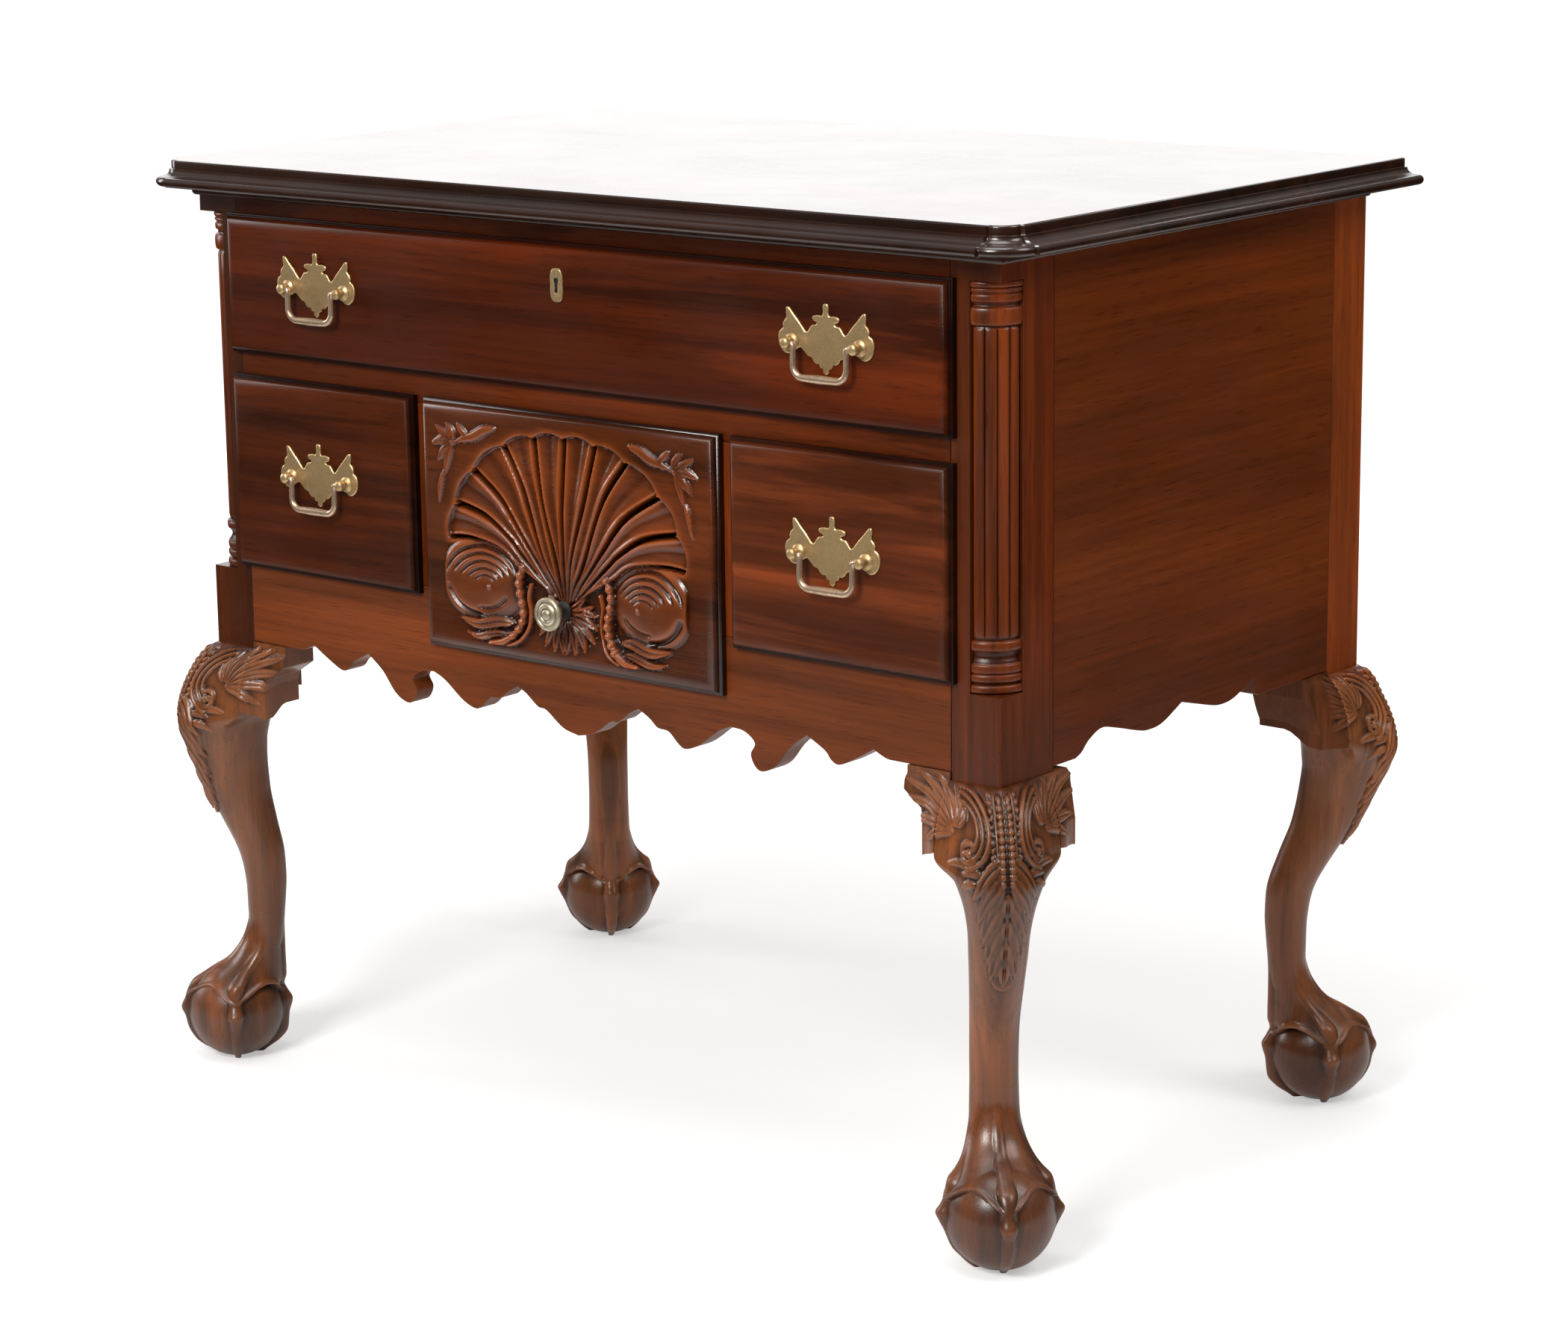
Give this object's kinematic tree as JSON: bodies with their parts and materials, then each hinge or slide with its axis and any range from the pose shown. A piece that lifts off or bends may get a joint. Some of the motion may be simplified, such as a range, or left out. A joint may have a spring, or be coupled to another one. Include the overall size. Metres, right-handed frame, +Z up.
{
  "type": "lowboy",
  "caption": "Carved mahogany lowboy dressing table with lipped drawers, brass bail pulls, fluted quarter columns, scalloped apron and cabriole legs on claw-and-ball feet.",
  "frame": {"origin": "centre of the bounding box at floor level", "axes": "+X to the right of somebody facing the drawers, -Y out of the drawer fronts, +Z up"},
  "size_m": [0.9014, 0.5634, 0.768],
  "materials": {
    "mahogany_top": "polished",
    "mahogany_case": "polished",
    "mahogany_drawer": "polished, figured",
    "drawer_wood": "unfinished",
    "brass": "aged, satin",
    "lock_iron": "dark"
  },
  "bodies": {
    "case": {"top_board": "mahogany_top", "front_left_leg": "mahogany_case", "front_right_leg": "mahogany_case", "back_left_leg": "mahogany_case", "back_right_leg": "mahogany_case", "front_left_front_knee_block": "mahogany_case", "front_right_front_knee_block": "mahogany_case", "front_left_side_knee_block": "mahogany_case", "front_right_side_knee_block": "mahogany_case", "back_left_side_knee_block": "mahogany_case", "back_right_side_knee_block": "mahogany_case", "left_quarter_column": "mahogany_case", "right_quarter_column": "mahogany_case", "left_side_panel": "mahogany_case", "right_side_panel": "mahogany_case", "top_front_rail": "mahogany_case", "middle_rail": "mahogany_case", "front_apron": "mahogany_case", "left_drawer_divider": "mahogany_case", "right_drawer_divider": "mahogany_case", "bed_moulding": "mahogany_case", "back_panel": "drawer_wood", "top_left_runner": "drawer_wood", "top_right_runner": "drawer_wood", "lower_left_runner": "drawer_wood", "lower_right_runner": "drawer_wood", "middle_left_runner": "drawer_wood", "middle_right_runner": "drawer_wood"},
    "top_drawer": {"top_drawer_front": "mahogany_drawer", "top_drawer_left_side": "drawer_wood", "top_drawer_right_side": "drawer_wood", "top_drawer_back": "drawer_wood", "top_drawer_bottom": "drawer_wood", "top_left_pull_backplate": "brass", "top_right_pull_backplate": "brass", "escutcheon": "brass", "lock_case": "lock_iron"},
    "left_drawer": {"left_drawer_front": "mahogany_drawer", "left_drawer_left_side": "drawer_wood", "left_drawer_right_side": "drawer_wood", "left_drawer_back": "drawer_wood", "left_drawer_bottom": "drawer_wood", "lower_left_pull_backplate": "brass"},
    "right_drawer": {"right_drawer_front": "mahogany_drawer", "right_drawer_left_side": "drawer_wood", "right_drawer_right_side": "drawer_wood", "right_drawer_back": "drawer_wood", "right_drawer_bottom": "drawer_wood", "lower_right_pull_backplate": "brass"},
    "shell_drawer": {"shell_drawer_front": "mahogany_drawer", "shell_drawer_left_side": "drawer_wood", "shell_drawer_right_side": "drawer_wood", "shell_drawer_back": "drawer_wood", "shell_drawer_bottom": "drawer_wood", "shell_drawer_knob": "brass"},
    "top_left_pull_bail": {"top_left_pull_bail": "brass"},
    "top_right_pull_bail": {"top_right_pull_bail": "brass"},
    "lower_left_pull_bail": {"lower_left_pull_bail": "brass"},
    "lower_right_pull_bail": {"lower_right_pull_bail": "brass"},
    "lock_bolt": {"lock_bolt": "lock_iron"}
  },
  "joints": [
    {"name": "top_drawer_slide", "type": "slide", "parent": "case", "child": "top_drawer", "axis": [0, -1, 0], "range_m": [0, 0.32]},
    {"name": "left_drawer_slide", "type": "slide", "parent": "case", "child": "left_drawer", "axis": [0, -1, 0], "range_m": [0, 0.32]},
    {"name": "right_drawer_slide", "type": "slide", "parent": "case", "child": "right_drawer", "axis": [0, -1, 0], "range_m": [0, 0.32]},
    {"name": "shell_drawer_slide", "type": "slide", "parent": "case", "child": "shell_drawer", "axis": [0, -1, 0], "range_m": [0, 0.32]},
    {"name": "top_left_pull_swing", "type": "hinge", "parent": "top_drawer", "child": "top_left_pull_bail", "pos_m": [-0.26, -0.2568, 0.6715], "axis": [-1, 0, 0], "range_deg": [0, 90]},
    {"name": "top_right_pull_swing", "type": "hinge", "parent": "top_drawer", "child": "top_right_pull_bail", "pos_m": [0.26, -0.2568, 0.6715], "axis": [-1, 0, 0], "range_deg": [0, 90]},
    {"name": "lower_left_pull_swing", "type": "hinge", "parent": "left_drawer", "child": "lower_left_pull_bail", "pos_m": [-0.264, -0.2568, 0.5165], "axis": [-1, 0, 0], "range_deg": [0, 90]},
    {"name": "lower_right_pull_swing", "type": "hinge", "parent": "right_drawer", "child": "lower_right_pull_bail", "pos_m": [0.264, -0.2568, 0.5165], "axis": [-1, 0, 0], "range_deg": [0, 90]},
    {"name": "lock_bolt_throw", "type": "slide", "parent": "top_drawer", "child": "lock_bolt", "axis": [0, 0, 1], "range_m": [0, 0.009]}
  ]
}
